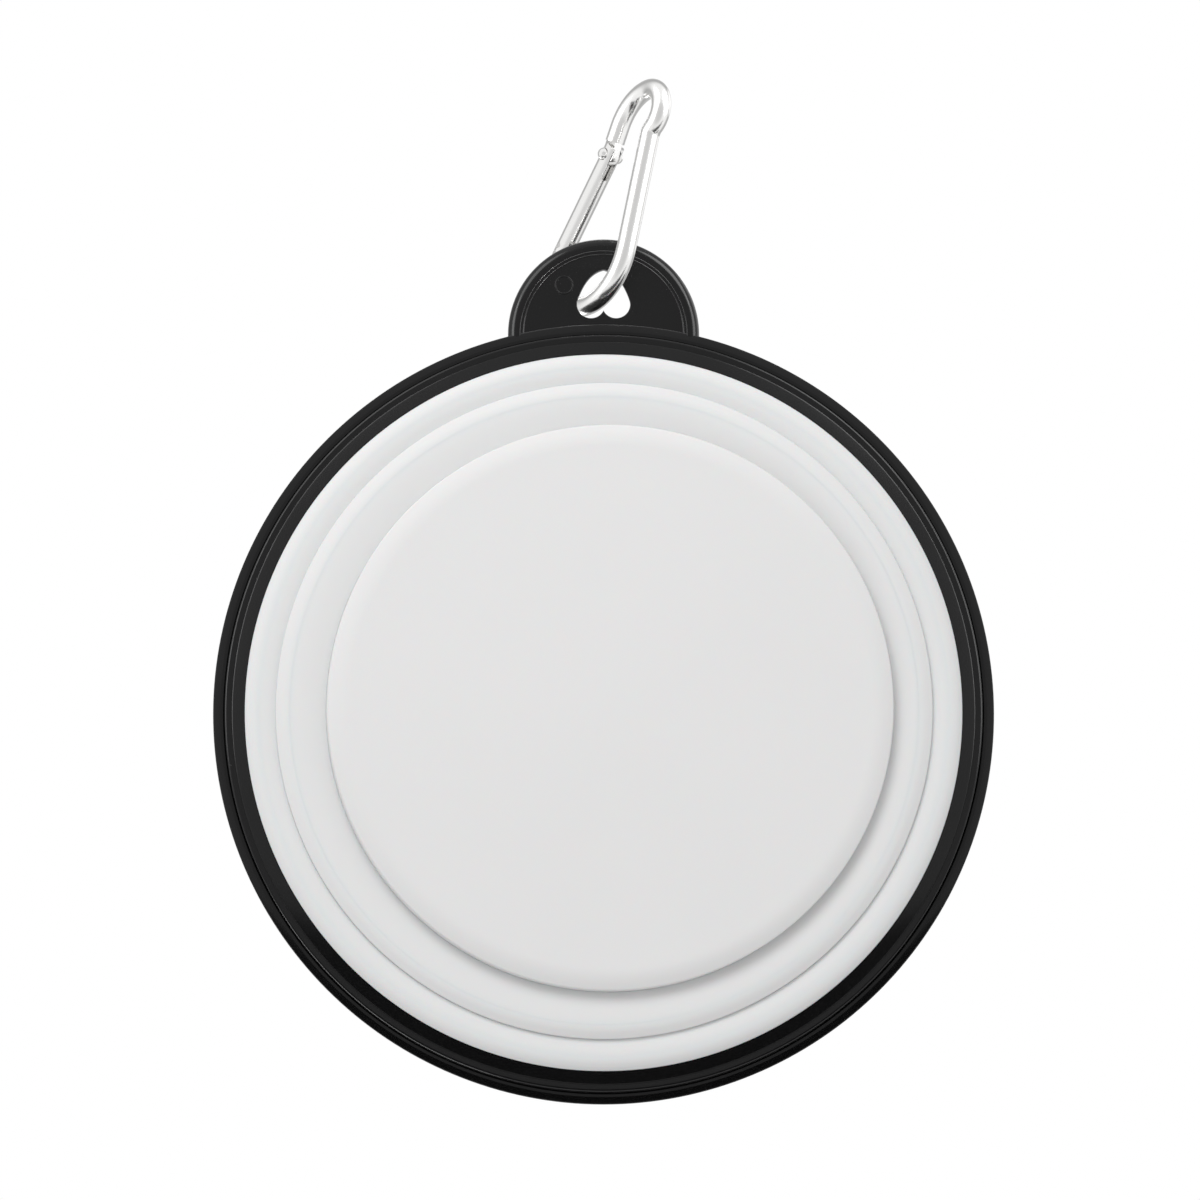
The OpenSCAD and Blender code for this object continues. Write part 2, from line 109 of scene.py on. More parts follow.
# %% Camera below the foot
camera_lean = math.radians(4.1)
camera_away, frame_wide, sensor_mm = 1.2, 0.20026, 36
aim = Vector((0.594, 19.0, 11.0)) * MM
look = Vector((0, math.sin(camera_lean), math.cos(camera_lean)))
up = Vector((0, look.z, -look.y))


def link_object(name, data):
    made = bpy.data.objects.new(name, data)
    bpy.context.scene.collection.objects.link(made)
    return made


camera = link_object("camera", bpy.data.cameras.new("camera"))
camera.data.sensor_width = sensor_mm
camera.data.lens = sensor_mm * camera_away / frame_wide
camera.data.clip_start, camera.data.clip_end = 0.05, 20
turn = Matrix((look.cross(up), up, -look)).transposed()
camera.matrix_world = Matrix.Translation(aim - look * camera_away) @ turn.to_4x4()
bpy.context.scene.camera = camera
bpy.context.scene.view_settings.view_transform = "Standard"
print("Lens in mm:", round(camera.data.lens, 1))

# %% [markdown]
# ## Node helpers
# The studio, the finishes and the turned shapes are all node trees. In the editor you add a node,
# then link its sockets or type values into them. These helpers do the same in one line each. Two
# of them place what comes up most: a sum, and a mix of two colours.

# %% Small helpers for node trees
def add_node(tree, kind, **settings):
    node = tree.nodes.new(kind)
    for key, value in settings.items():
        setattr(node, key, value)
    return node


def link(tree, source, target):
    tree.links.new(source, target)


def feed(tree, value, socket):
    if isinstance(value, bpy.types.NodeSocket):
        link(tree, value, socket)
    else:
        socket.default_value = value


def add_math(tree, operation, *values):
    node = add_node(tree, "ShaderNodeMath", operation=operation)
    for value, socket in zip(values, node.inputs):
        feed(tree, value, socket)
    return node.outputs[0]


def add_mix(tree, factor, a, b):
    node = add_node(tree, "ShaderNodeMix", data_type="RGBA")
    for name, value in (("Factor_Float", factor), ("A_Color", a), ("B_Color", b)):
        feed(tree, value, next(s for s in node.inputs if s.identifier == name))
    return next(s for s in node.outputs if s.identifier == "Result_Color")


def grey(level):
    return (level, level, level, 1)


# %% [markdown]
# ## Studio
# The background is pure white, and the silicone is only a light grey against it, so the white
# comes from what camera rays see and not from more light. The room's own light is soft, and
# brighter towards the tab and one side. Polished metal and black plastic show what they mirror,
# so glossy rays see a white band round the horizon that goes grey towards the camera and
# overhead. The Light Path node tells these rays apart.

# %% World
white = grey(1)
dim_side, bright_side = grey(0.51), grey(0.91)
bright_way = Vector((0.4, 0.9, 0)).normalized()
below, overhead, zenith = grey(0.68), grey(0.4), grey(0.62)
band = ((0.05, below), (0.16, white), (0.6, white), (0.76, overhead))


def to_share(tree, value):
    half = 0.5
    return add_math(tree, "MULTIPLY_ADD", value, half, half)


world = bpy.data.worlds.new("studio")
bpy.context.scene.world = world
world.use_nodes = True
tree = world.node_tree
tree.nodes.clear()
path = add_node(tree, "ShaderNodeLightPath")
way = add_node(tree, "ShaderNodeTexCoord").outputs["Generated"]
leaning = add_node(tree, "ShaderNodeVectorMath", operation="DOT_PRODUCT")
leaning.inputs[1].default_value = bright_way
link(tree, way, leaning.inputs[0])
room_light = add_mix(tree, to_share(tree, leaning.outputs["Value"]), dim_side, bright_side)

height = add_node(tree, "ShaderNodeSeparateXYZ")
link(tree, way, height.inputs[0])
mirror_ramp = add_node(tree, "ShaderNodeValToRGB")
mirror_ramp.color_ramp.elements[0].color = below
mirror_ramp.color_ramp.elements[1].color = zenith
for spot, shade in band:
    mirror_ramp.color_ramp.elements.new(spot).color = shade
link(tree, to_share(tree, height.outputs["Z"]), mirror_ramp.inputs["Fac"])
lit = add_mix(tree, path.outputs["Is Glossy Ray"], room_light, mirror_ramp.outputs["Color"])
straight = add_math(tree, "MAXIMUM", path.outputs["Is Camera Ray"], path.outputs["Is Transmission Ray"])
shine = add_node(tree, "ShaderNodeBackground")
link(tree, add_mix(tree, straight, lit, white), shine.inputs["Color"])
link(tree, shine.outputs[0], add_node(tree, "ShaderNodeOutputWorld").inputs["Surface"])
print("World nodes:", len(tree.nodes))

# %% [markdown]
# The floor is a sheet of pale paper just under the foot. It shows only when it is looked at from
# above: the photograph looks up from below it, so from there it lets everything pass. The paper
# is half matte, which takes the bowl's shadow, and half glowing, which keeps it pale.

# %% Floor that shows from above only
floor_half, floor_drop, paper_shade = 2.5, 0.2 * MM, grey(0.9)


def flat_sheet(name, first, last, z):
    (x0, y0), (x1, y1) = first, last
    mesh = bpy.data.meshes.new(name)
    mesh.from_pydata([(x0, y0, z), (x1, y0, z), (x1, y1, z), (x0, y1, z)], [], [(0, 1, 2, 3)])
    return link_object(name, mesh)


def bare_material(sheet, name):
    material = bpy.data.materials.new(name)
    material.use_nodes = True
    material.node_tree.nodes.clear()
    sheet.data.materials.append(material)
    return material.node_tree


def show_where(tree, mask, shader):
    surface = add_node(tree, "ShaderNodeMixShader")
    clear = add_node(tree, "ShaderNodeBsdfTransparent")
    for source, socket in zip((mask, clear.outputs[0], shader), surface.inputs):
        link(tree, source, socket)
    link(tree, surface.outputs[0], add_node(tree, "ShaderNodeOutputMaterial").inputs["Surface"])


studio_floor = flat_sheet("studio_floor", (-floor_half, -floor_half), (floor_half, floor_half), -floor_drop)
tree = bare_material(studio_floor, "studio_paper")
path = add_node(tree, "ShaderNodeLightPath")
side = add_node(tree, "ShaderNodeNewGeometry")
front = add_math(tree, "SUBTRACT", 1.0, side.outputs["Backfacing"])
matte = add_node(tree, "ShaderNodeBsdfDiffuse")
matte.inputs["Color"].default_value = paper_shade
glow = add_node(tree, "ShaderNodeEmission")
half_glow = add_node(tree, "ShaderNodeMixShader")
link(tree, matte.outputs[0], half_glow.inputs[1])
link(tree, glow.outputs[0], half_glow.inputs[2])
show_where(tree, add_math(tree, "MULTIPLY", path.outputs["Is Camera Ray"], front), half_glow.outputs[0])
print("Floor half width in m:", floor_half)

# %% [markdown]
# Soft lamps stand on both sides, because the bowl is looked at from both. The key below gives
# light and isn't mirrored. The shine and edge lamps are the reverse: they give no light, and are
# there to be mirrored as bright lines. The two lamps above do both.

# %% Soft lamps
lamp_target = Vector((0, 0.02, 0.01))


def add_lamp(name, place, size, power, mirrored=True, lighting=True):
    lamp = bpy.data.lights.new(name, "AREA")
    lamp.shape, lamp.size, lamp.energy = "DISK", size, power
    holder = link_object(name, lamp)
    holder.location = place
    holder.rotation_euler = (lamp_target - Vector(place)).to_track_quat("-Z", "Y").to_euler()
    holder.visible_diffuse, holder.visible_glossy = lighting, mirrored
    return holder


lamps = [
    add_lamp("key_below", (0.16, 0.38, -0.52), size=0.45, power=1.6, mirrored=False),
    add_lamp("shine_left", (0.70, 0.76, -0.42), size=0.8, power=5.5, lighting=False),
    add_lamp("shine_right", (-0.66, 0.79, -0.42), size=0.8, power=9.0, lighting=False),
    add_lamp("edge_left", (1.0, 0.25, -0.44), size=0.7, power=6.0, lighting=False),
    add_lamp("edge_right", (-1.0, 0.25, -0.44), size=0.7, power=6.0, lighting=False),
    add_lamp("key_above", (0.6, -0.7, 0.9), size=0.8, power=4.0),
    add_lamp("fill_above", (-0.9, 0.4, 0.8), size=0.9, power=1.5),
]
print("Lamps:", [lamp.name for lamp in lamps])

# %% [markdown]
# A black surface shows only what it mirrors. In the photograph the rim goes darker towards the
# bottom, because its slanted face looks there at something dark near the camera. A dark card, as
# studios use it, does the same. Only glossy rays see it, so it neither shows nor shades.

# %% Dark card
card_z, card_near, card_far, card_half = -0.12, -0.08, -0.4, 0.3
card_shade = grey(0.04)
dark_card = flat_sheet("dark_card", (-card_half, card_near), (card_half, card_far), card_z)
tree = bare_material(dark_card, "dark_card")
dark = add_node(tree, "ShaderNodeEmission")
dark.inputs["Color"].default_value = card_shade
show_where(tree, add_node(tree, "ShaderNodeLightPath").outputs["Is Glossy Ray"], dark.outputs[0])
print("Card in m:", card_near, "to", card_far)

# %% [markdown]
# ## Shared surface effects
# Moulded silicone, moulded plastic and plating all have a faint unevenness and a few specks of
# dust, at different sizes. Each effect is built once as a shader node group with named inputs,
# and each material places it with its own values. Both read Object coordinates, so they stay
# fixed to the piece when it moves.

# %% Shader node groups
VECTOR, FLOAT = "NodeSocketVector", "NodeSocketFloat"
grain_detail = 3


def new_group(name, inputs, outputs):
    group = bpy.data.node_groups.new(name, "ShaderNodeTree")
    for socket, kind, value in inputs:
        made = group.interface.new_socket(name=socket, in_out="INPUT", socket_type=kind)
        if value is not None:
            made.default_value = value
    for socket in outputs:
        group.interface.new_socket(name=socket, in_out="OUTPUT", socket_type=FLOAT)
    return group, add_node(group, "NodeGroupInput"), add_node(group, "NodeGroupOutput")


grain_group, source, result = new_group(
    "moulded_grain",
    [("Vector", VECTOR, None), ("Fine", FLOAT, 900.0), ("Broad", FLOAT, 40.0)],
    ["Height", "Cloud"],
)
for size, effect in (("Fine", "Height"), ("Broad", "Cloud")):
    noise = add_node(grain_group, "ShaderNodeTexNoise")
    noise.inputs["Detail"].default_value = grain_detail
    link(grain_group, source.outputs["Vector"], noise.inputs["Vector"])
    link(grain_group, source.outputs[size], noise.inputs["Scale"])
    link(grain_group, noise.outputs["Fac"], result.inputs[effect])

speck_group, source, result = new_group(
    "dust_specks",
    [("Vector", VECTOR, None), ("Spacing", FLOAT, 120.0), ("Size", FLOAT, 0.06), ("Share", FLOAT, 0.2)],
    ["Mask"],
)
cells = add_node(speck_group, "ShaderNodeTexVoronoi")
link(speck_group, source.outputs["Vector"], cells.inputs["Vector"])
link(speck_group, source.outputs["Spacing"], cells.inputs["Scale"])
near = add_math(speck_group, "LESS_THAN", cells.outputs["Distance"], source.outputs["Size"])
pick = add_node(speck_group, "ShaderNodeSeparateColor")
link(speck_group, cells.outputs["Color"], pick.inputs["Color"])
chosen = add_math(speck_group, "LESS_THAN", pick.outputs["Red"], source.outputs["Share"])
link(speck_group, add_math(speck_group, "MULTIPLY", near, chosen), result.inputs["Mask"])
print("Shader groups:", grain_group.name, speck_group.name)

# %% [markdown]
# ## Finishes
# The silicone is a matte, slightly translucent white with a very faint cloudiness and a few
# specks. The rim is semi-gloss moulded black. The clip is bright nickel plate over wire, and the
# small spring inside its gate is bare drawn wire. Colours that vary come from the groups, and
# numbers that are the same all over sit on the shader itself.

# %% Finish maker
grain_depth = 0.02 * MM


def new_finish(name, colour, cloudy, rough, rough_range, grain, speck, bump, **constants):
    material = bpy.data.materials.new(name)
    material.use_nodes = True
    tree = material.node_tree
    shader = tree.nodes["Principled BSDF"]
    place = add_node(tree, "ShaderNodeTexCoord").outputs["Object"]
    grain_node = add_node(tree, "ShaderNodeGroup", node_tree=grain_group)
    speck_node = add_node(tree, "ShaderNodeGroup", node_tree=speck_group)
    for node, values in ((grain_node, grain), (speck_node, speck)):
        link(tree, place, node.inputs["Vector"])
        for key, value in values.items():
            if key in node.inputs:
                node.inputs[key].default_value = value
    clouded = add_mix(tree, grain_node.outputs["Cloud"], (*colour, 1), (*cloudy, 1))
    dotted = add_math(tree, "MULTIPLY", speck_node.outputs["Mask"], speck["Strength"])
    link(tree, add_mix(tree, dotted, clouded, (*speck["Colour"], 1)), shader.inputs["Base Color"])
    spread = add_math(tree, "MULTIPLY", grain_node.outputs["Cloud"], rough_range)
    link(tree, add_math(tree, "ADD", spread, rough - rough_range / 2), shader.inputs["Roughness"])
    dent = add_node(tree, "ShaderNodeBump")
    dent.inputs["Strength"].default_value = bump
    dent.inputs["Distance"].default_value = grain_depth
    link(tree, grain_node.outputs["Height"], dent.inputs["Height"])
    link(tree, dent.outputs["Normal"], shader.inputs["Normal"])
    for key, value in constants.items():
        shader.inputs[key.replace("_", " ")].default_value = value
    return material


# %% Silicone, plastic, nickel and wire
silicone = new_finish(
    "soft_white_silicone",
    colour=(0.80, 0.80, 0.80), cloudy=(0.775, 0.775, 0.775), rough=0.55, rough_range=0.08,
    grain={"Fine": 1400.0, "Broad": 30.0},
    speck={"Spacing": 55.0, "Size": 0.010, "Share": 0.25, "Strength": 0.35, "Colour": (0.5, 0.5, 0.5)},
    bump=0.25, Subsurface_Weight=0.12, Subsurface_Scale=0.002, Specular_IOR_Level=0.35,
)
plastic = new_finish(
    "moulded_black",
    colour=(0.004, 0.004, 0.0042), cloudy=(0.006, 0.006, 0.0062), rough=0.17, rough_range=0.06,
    grain={"Fine": 1800.0, "Broad": 60.0},
    speck={"Spacing": 260.0, "Size": 0.035, "Share": 0.12, "Strength": 0.05, "Colour": (0.5, 0.5, 0.5)},
    bump=0.1, Specular_IOR_Level=0.27,
)
nickel = new_finish(
    "bright_nickel",
    colour=(0.88, 0.875, 0.865), cloudy=(0.84, 0.835, 0.825), rough=0.2, rough_range=0.04,
    grain={"Fine": 2600.0, "Broad": 220.0},
    speck={"Spacing": 500.0, "Size": 0.06, "Share": 0.1, "Strength": 0.3, "Colour": (0.3, 0.3, 0.3)},
    bump=0.03, Metallic=1.0,
)
wire_steel = new_finish(
    "drawn_wire",
    colour=(0.45, 0.45, 0.47), cloudy=(0.36, 0.36, 0.38), rough=0.32, rough_range=0.1,
    grain={"Fine": 3000.0, "Broad": 500.0},
    speck={"Spacing": 900.0, "Size": 0.06, "Share": 0.1, "Strength": 0.3, "Colour": (0.2, 0.2, 0.2)},
    bump=0.12, Metallic=1.0,
)
print("Finishes:", [m.name for m in (silicone, plastic, nickel, wire_steel)])

# %% [markdown]
# ## A tree that spins a profile
# The bowl, its folds, the rim and the clamp ring are all turned shapes: one outline carried round
# the axis. The Spin tool could do it, but a Geometry Nodes tree states the rule once. A grid
# gives a row for each point of the outline and a column for each step round. The tree looks the
# outline's point up by row, turns it by column, and welds the closing seam and the poles.

# %% Starting and ending a geometry tree
GEOMETRY, INT, MATERIAL = "NodeSocketGeometry", "NodeSocketInt", "NodeSocketMaterial"


def new_geometry_tree(name, inputs):
    tree = bpy.data.node_groups.new(name, "GeometryNodeTree")
    for socket, kind in inputs:
        tree.interface.new_socket(name=socket, in_out="INPUT", socket_type=kind)
    tree.interface.new_socket(name="Geometry", in_out="OUTPUT", socket_type=GEOMETRY)
    return tree, add_node(tree, "NodeGroupInput"), add_node(tree, "NodeGroupOutput")


def end_tree(tree, geometry, source, result):
    real = add_node(tree, "GeometryNodeRealizeInstances")
    smooth = add_node(tree, "GeometryNodeSetShadeSmooth")
    paint = add_node(tree, "GeometryNodeSetMaterial")
    link(tree, geometry, real.inputs["Geometry"])
    link(tree, real.outputs[0], smooth.inputs["Geometry"])
    link(tree, smooth.outputs[0], paint.inputs["Geometry"])
    link(tree, source.outputs["Material"], paint.inputs["Material"])
    link(tree, paint.outputs[0], result.inputs["Geometry"])


# %% Spin tree
weld_gap, grid_half = 0.002 * MM, 0.5
spin_tree, source, result = new_geometry_tree(
    "spin_outline", [("Outline", GEOMETRY), ("Steps", INT), ("Material", MATERIAL)]
)
count = add_node(spin_tree, "GeometryNodeAttributeDomainSize")
link(spin_tree, source.outputs["Outline"], count.inputs[0])
grid = add_node(spin_tree, "GeometryNodeMeshGrid")
link(spin_tree, add_math(spin_tree, "ADD", source.outputs["Steps"], 1.0), grid.inputs["Vertices X"])
link(spin_tree, count.outputs["Point Count"], grid.inputs["Vertices Y"])
cell = add_node(spin_tree, "ShaderNodeSeparateXYZ")
link(spin_tree, add_node(spin_tree, "GeometryNodeInputPosition").outputs[0], cell.inputs[0])
column_share = add_math(spin_tree, "ADD", cell.outputs["X"], grid_half)
row_share = add_math(spin_tree, "ADD", cell.outputs["Y"], grid_half)
angle = add_math(spin_tree, "MULTIPLY", column_share, math.tau)
last = add_math(spin_tree, "SUBTRACT", count.outputs["Point Count"], 1.0)
row = add_math(spin_tree, "ROUND", add_math(spin_tree, "MULTIPLY", row_share, last))
point = add_node(spin_tree, "GeometryNodeSampleIndex", data_type="FLOAT_VECTOR", domain="POINT")
link(spin_tree, source.outputs["Outline"], point.inputs["Geometry"])
link(spin_tree, add_node(spin_tree, "GeometryNodeInputPosition").outputs[0], point.inputs["Value"])
link(spin_tree, row, point.inputs["Index"])
flat = add_node(spin_tree, "ShaderNodeSeparateXYZ")
link(spin_tree, point.outputs["Value"], flat.inputs[0])
spun = add_node(spin_tree, "ShaderNodeCombineXYZ")
for axis, operation in (("X", "COSINE"), ("Y", "SINE")):
    share = add_math(spin_tree, operation, angle)
    link(spin_tree, add_math(spin_tree, "MULTIPLY", flat.outputs["X"], share), spun.inputs[axis])
link(spin_tree, flat.outputs["Z"], spun.inputs["Z"])
carried = add_node(spin_tree, "GeometryNodeSetPosition")
link(spin_tree, grid.outputs["Mesh"], carried.inputs["Geometry"])
link(spin_tree, spun.outputs[0], carried.inputs["Position"])
welded = add_node(spin_tree, "GeometryNodeMergeByDistance")
welded.inputs["Distance"].default_value = weld_gap
link(spin_tree, carried.outputs[0], welded.inputs["Geometry"])
end_tree(spin_tree, welded.outputs[0], source, result)
print("Spin tree nodes:", len(spin_tree.nodes))

# %% [markdown]
# A tree needs a mesh to work on, so a helper makes the outline as points and edges, hangs the
# tree on it as a modifier, and takes the result as a plain mesh. Then faces are turned outwards,
# and edges sharper than a set angle stay sharp while the rest shade smooth.

# %% Helpers that run a tree and finish its mesh
sharp_angle, tiny_edge, spin_steps = math.radians(40), 1e-7, 256


def run_tree(name, points, tree, values):
    edges = [(i, i + 1) for i in range(len(points) - 1)]
    mesh = bpy.data.meshes.new(name + "_line")
    mesh.from_pydata(points, edges, [])
    holder = link_object(name + "_line", mesh)
    modifier = holder.modifiers.new("nodes", "NODES")
    modifier.node_group = tree
    for socket in tree.interface.items_tree:
        if socket.in_out == "INPUT" and socket.name in values:
            modifier[socket.identifier] = values[socket.name]
    graph = bpy.context.evaluated_depsgraph_get()
    made = bpy.data.meshes.new_from_object(holder.evaluated_get(graph))
    bpy.data.objects.remove(holder)
    bpy.data.meshes.remove(mesh)
    made.name = name
    return made


def finish_mesh(mesh):
    work = bmesh.new()
    work.from_mesh(mesh)
    bmesh.ops.dissolve_degenerate(work, dist=tiny_edge, edges=work.edges)
    bmesh.ops.recalc_face_normals(work, faces=work.faces)
    work.to_mesh(mesh)
    work.free()
    mesh.shade_smooth()
    mesh.set_sharp_from_angle(angle=sharp_angle)


def finished_object(name, mesh):
    finish_mesh(mesh)
    print(name, "faces:", len(mesh.polygons))
    return link_object(name, mesh)


def spin(name, outline, finish):
    points = [(r, 0, z) for r, z in outline]
    mesh = run_tree(name, points, spin_tree, {"Steps": spin_steps, "Material": finish})
    return finished_object(name, mesh)


def arc(centre, radius, start, stop, steps=12, high=None):
    turns = np.radians(np.linspace(start, stop, steps + 1))
    rise = radius if high is None else high
    return [(centre[0] + radius * math.cos(t), centre[1] + rise * math.sin(t)) for t in turns]


def closed(outline):
    return outline + outline[:1]


# %% [markdown]
# ## The silicone rings
# Folded, the bowl is three stiff rings inside each other: the cup with its foot, the step ring
# and the collar. Each has a soft, wide rounding on its lower outer edge, which catches the light
# as a pale crescent. It is a flat arc, a short slope and a small round nose. Each outline is
# closed, or starts and ends on the axis, and is spun.

# %% Cup
crown, fillet = 0.6 * MM, 2.5 * MM


def soft_edge(edge_r, bottom, wide, curved, lean_deg, nose):
    lean = math.radians(lean_deg)
    big = curved / math.sin(lean)
    points = arc((edge_r - wide, bottom + big), big, -90, lean_deg - 90)
    nose_r = edge_r - nose + nose * math.sin(lean)
    nose_z = points[-1][1] + (nose_r - points[-1][0]) * math.tan(lean)
    return points + arc((edge_r - nose, nose_z + nose * math.cos(lean)), nose, lean_deg - 90, 0)


cup = spin(
    "soft_cup",
    [(0, 0)]
    + soft_edge(cup_r, 0, wide=3.6 * MM, curved=2.7 * MM, lean_deg=21, nose=0.45 * MM)
    + [(cup_r, cup_top - fold), (cup_seam, cup_top - fold), (cup_seam, cup_top)]
    + arc((cup_r - wall + crown, cup_top - crown), crown, 90, 180)
    + arc((cup_r - wall - fillet, floor_t + fillet), fillet, 0, -90)
    + [(0, floor_t)],
    silicone,
)

# %% Step ring and collar
ledge = 0.35 * MM


def ring_outline(seam, ring_r, bottom, edge, upper):
    inner = ring_r - wall
    corner = arc((inner - ledge, bottom + fold + ledge), ledge, 0, -90, steps=6)
    return closed([(seam, bottom)] + edge + upper + corner + [(seam, bottom + fold)])


step_edge = soft_edge(step_r, step_low, wide=2.4 * MM, curved=1.5 * MM, lean_deg=26, nose=0.35 * MM)
step_upper = (
    [(step_r, step_top - fold), (crest_seam, step_top - fold), (crest_seam, step_top)]
    + arc((step_r - wall + crown, step_top - crown), crown, 90, 180)
)
step_outline = ring_outline(step_seam, step_r, step_low, step_edge, step_upper)
step_ring = spin("soft_step_ring", step_outline, silicone)

collar_edge = soft_edge(collar_r, collar_low, wide=2.2 * MM, curved=1.8 * MM, lean_deg=38, nose=0.35 * MM)
collar_upper = [
    (collar_r, clamp_top), (edge_r, clamp_top), (edge_r, collar_top), (collar_r - wall, collar_top)
]
collar_outline = ring_outline(collar_seam, collar_r, collar_low, collar_edge, collar_upper)
collar = spin("soft_collar", collar_outline, silicone)

# %% [markdown]
# ## The thin folds
# Between the rings the wall is thin and turns back on itself. From below only its flared foot
# shows: it comes out from behind the inner ring in one smooth bend and runs into the next ring.
# When the bowl opens, the fold's two ends move apart and it turns inside out, so it has many rows of points.
# Here it is made in its folded shape only.

# %% Lower and upper fold
hug_gap, valley, wall_rows, slope_rows = 0.02 * MM, 1.2 * MM, 17, 16
lower_flare, upper_flare = (4.9 * MM, 1.25 * MM), (2.5 * MM, 0.6 * MM)
lower_crest, upper_crest = 48.4 * MM, 55.0 * MM


def ease(t):
    return t * t * (3 - 2 * t)


def fold_outline(outer_seam, bottom, ring_r, flare, crest_r, inner_seam, upper):
    wide, high = flare
    hug_r = ring_r + hug_gap
    under, bend_z = upper - fold, bottom + high
    rise = np.linspace(0, 1, wall_rows + 2)[1:-1]
    inner_wall = [(hug_r + (crest_r - hug_r) * ease(t), bend_z + (under - bend_z) * t) for t in rise]
    outer_wall = [(r + fold, z) for r, z in reversed(inner_wall) if z > bottom + fold + valley]
    run = np.linspace(0, 1, slope_rows + 1)
    return closed(
        [(outer_seam, bottom)]
        + [(hug_r + wide * (1 - t), bottom + high * t * t) for t in run]
        + inner_wall
        + [(crest_r, under), (inner_seam, under), (inner_seam, upper)]
        + arc((crest_r, under), fold, 90, 0)
        + outer_wall
        + arc((hug_r + fold + valley, bottom + fold + valley), valley, 180, 270, steps=8)
        + [(outer_seam, bottom + fold)]
    )


lower_outline = fold_outline(step_seam, step_low, cup_r, lower_flare, lower_crest, cup_seam, cup_top)
upper_outline = fold_outline(collar_seam, collar_low, step_r, upper_flare, upper_crest, crest_seam, step_top)
lower_fold = spin("soft_lower_fold", lower_outline, silicone)
upper_fold = spin("soft_upper_fold", upper_outline, silicone)

# %% [markdown]
# The soft rings don't fold back quite in the middle: in the photograph the foot sits about a
# millimetre to one side, and the step ring a little. Each leans that far at its lower face and
# not at all at its top. The folds go along, from the lean of the ring inside to that outside.

# %% Lean of the folded rings
cup_shift, step_shift = np.array([-1.23, 0.6]) * MM, np.array([-0.11, 0.2]) * MM


def cup_lean(z):
    return np.clip(1 - z / cup_top, 0, 1)[:, None] * cup_shift


def step_lean(z):
    return np.clip((step_top - z) / (step_top - step_low), 0, 1)[:, None] * step_shift


def no_lean(z):
    return np.zeros((len(z), 2))


def lean_mesh(mesh, inner, outer, inner_r, outer_r):
    points = np.empty(len(mesh.vertices) * 3)
    mesh.vertices.foreach_get("co", points)
    points = points.reshape(-1, 3)
    way_out = (np.hypot(points[:, 0], points[:, 1]) - inner_r) / (outer_r - inner_r)
    share = ease(np.clip(way_out, 0, 1))[:, None]
    points[:, :2] += inner(points[:, 2]) * (1 - share) + outer(points[:, 2]) * share
    mesh.vertices.foreach_set("co", points.ravel())
    mesh.update()


lean_mesh(cup.data, cup_lean, cup_lean, cup_r, step_seam)
lean_mesh(lower_fold.data, cup_lean, step_lean, cup_r, step_seam)
lean_mesh(step_ring.data, step_lean, step_lean, step_r, collar_seam)
lean_mesh(upper_fold.data, step_lean, no_lean, step_r, collar_seam)
print("Foot moved in mm:", np.round(cup_shift / MM, 2).tolist())

# %% [markdown]
# ## The rim and its clamp ring
# The rim is a moulded hoop: a flat top plate with a skirt that ends in a bead with a slanted
# face. It is one more spun outline.

# %% Rim hoop
skirt_w, plate_t, plate_in, hoop_round = 1.9 * MM, 2 * MM, 58.65 * MM, 1.5 * MM
plate_low, plate_round = rim_top - plate_t, plate_t / 2
bead, bead_nose, bead_flat, bead_lean = 0.4 * MM, 0.25 * MM, 0.4 * MM, 20
bead_drop = (skirt_w - 2 * bead_nose - bead_flat - bead) * math.tan(math.radians(bead_lean))
bead_r, bead_z = rim_r - skirt_w + bead_nose, skirt_low + bead_nose
hoop = spin(
    "rim_hoop",
    closed(
        arc((plate_in + plate_round, plate_low + plate_round), plate_round, 270, 90)
        + arc((rim_r - hoop_round, rim_top - hoop_round), hoop_round, 90, 0)
        + arc((rim_r - bead, skirt_low + bead_drop + bead), bead, 0, bead_lean - 90, steps=8)
        + arc((bead_r + bead_flat, bead_z), bead_nose, bead_lean - 90, -90, steps=4)
        + arc((bead_r, bead_z), bead_nose, -90, -180, steps=8)
        + [(rim_r - skirt_w, plate_low)]
    ),
    plastic,
)

# %% [markdown]
# The clamp ring snaps up inside the skirt and holds the silicone's edge against the plate. From
# below the two are split by a thin dark seam, and the clamp ring's slanted face has a low step.
# The wall above that face is a piece of its own here, because the lamps that draw the face's
# bright lines leave it out.

# %% Clamp ring's face and wall
clamp_in, clamp_out, face_r = 59.56 * MM, 62.9 * MM, 61.75 * MM
face_lean, face_step, face_soft, clamp_soft = 15, 0.3 * MM, 0.3 * MM, 0.4 * MM
face_z = clamp_low + (face_r - clamp_in) * math.tan(math.radians(face_lean))
ledge_z = face_z + face_step
wall_z = ledge_z + clamp_soft
clamp_hoop = spin(
    "clamp_hoop",
    closed(
        [(clamp_in, clamp_low)]
        + arc((face_r - face_soft, face_z + face_soft), face_soft, face_lean - 90, 0, steps=8)
        + [(face_r, ledge_z)]
        + arc((clamp_out - clamp_soft, wall_z), clamp_soft, -90, 0, steps=8)
        + [(clamp_in, wall_z)]
    ),
    plastic,
)
wall_corners = [(clamp_in, wall_z), (clamp_out, wall_z), (clamp_out, clamp_top), (clamp_in, clamp_top)]
clamp_wall = spin("clamp_wall", closed(wall_corners), plastic)

# %% [markdown]
# ## The tab
# The tab is a flat plate with a raised, rounded border round it and a heart-shaped hole for the
# clip. The plate is a filled flat curve with the heart cut out, given a thickness and small
# softened edges. Half of the heart is a round lobe and a curve to the tip, and the other half
# mirrors it. The border is one rounded section with a small inner step, carried along the tab's
# outline. A mould pin leaves a fine ring on the plate's underside.

# %% Helpers for the tab
same_spot = 0.001 * MM


